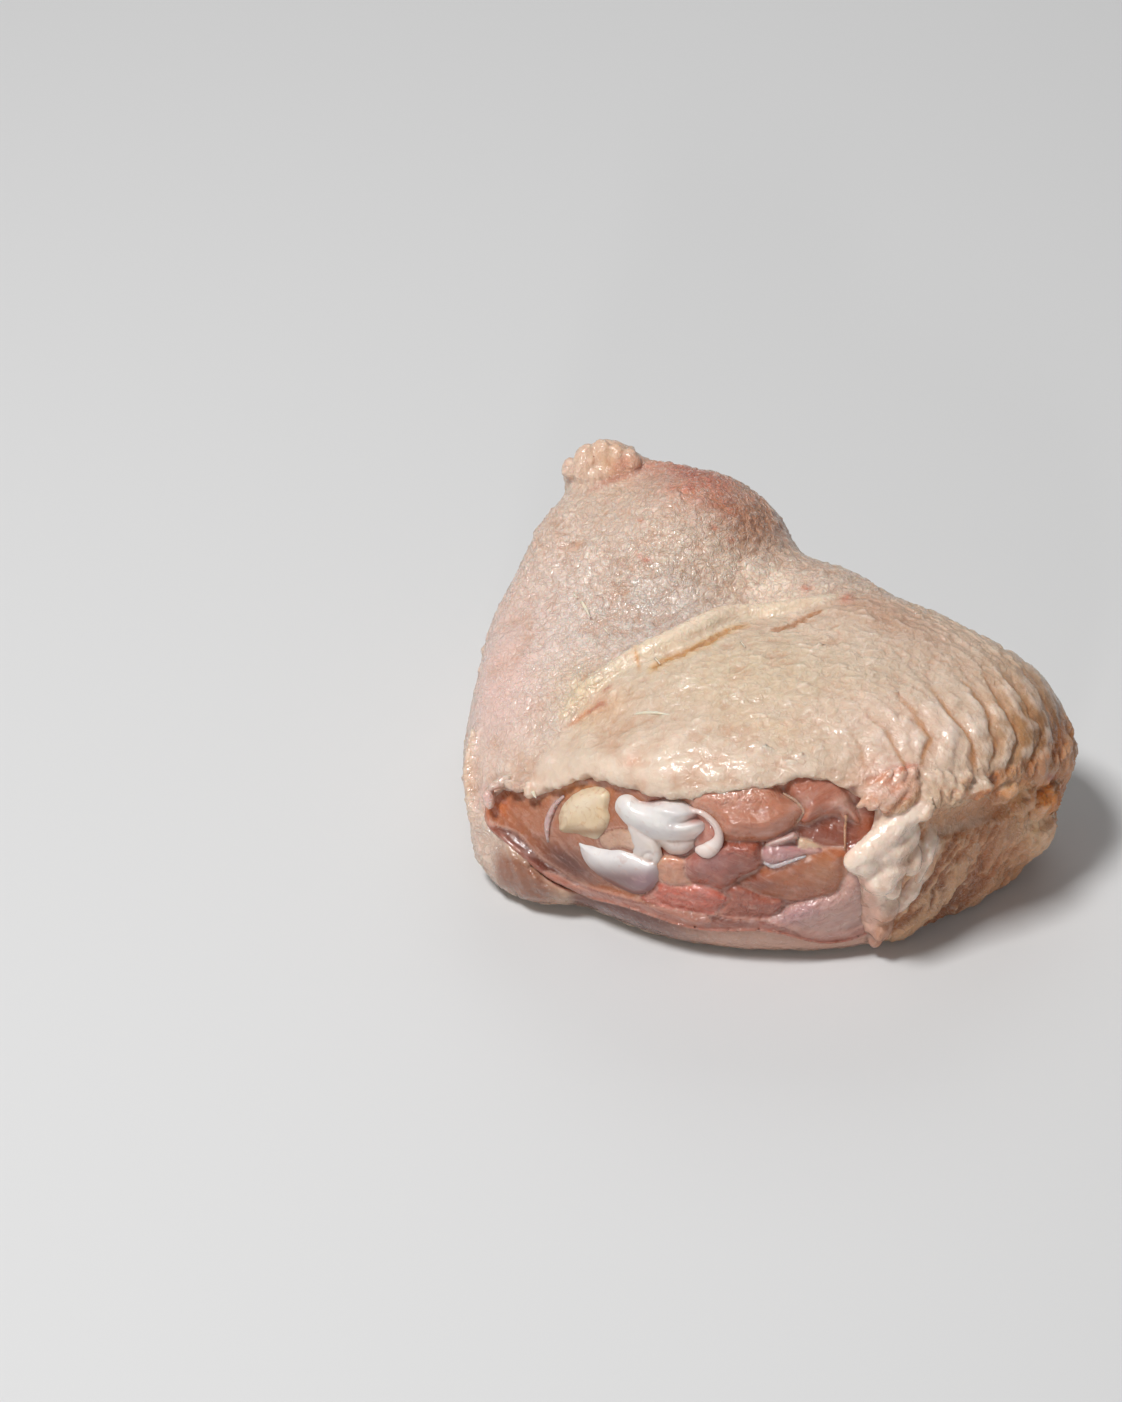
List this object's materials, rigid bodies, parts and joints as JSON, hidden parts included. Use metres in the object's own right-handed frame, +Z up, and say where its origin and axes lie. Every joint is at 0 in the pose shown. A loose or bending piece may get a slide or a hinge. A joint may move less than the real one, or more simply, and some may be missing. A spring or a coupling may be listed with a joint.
{
  "type": "raw chicken thigh",
  "caption": "Raw bone-in, skin-on chicken thigh lying skin side up, its knee end cut open to bare muscle and white cartilage; a food prop for cooking and butchery scenes.",
  "frame": {"origin": "centre of the bounding box's bottom face, on the surface that the thigh rests on", "axes": "+X along the thigh's length with the knee end towards -X, +Y away from the cut opening, +Z up out of the skin side"},
  "size_m": [0.1056, 0.096, 0.0497],
  "materials": {
    "skin": "moist raw poultry skin, cream to pale pink, with fine wrinkles and feather-follicle bumps",
    "meat": "wet raw muscle, pink-brown and slightly translucent",
    "cartilage": "wet white cartilage, bluish in its thin places",
    "pad": "moist opaque cream fat pad"
  },
  "bodies": {
    "root": {"skin": "skin", "meat": "meat", "femur": "cartilage", "knee_pad": "pad"}
  },
  "joints": []
}
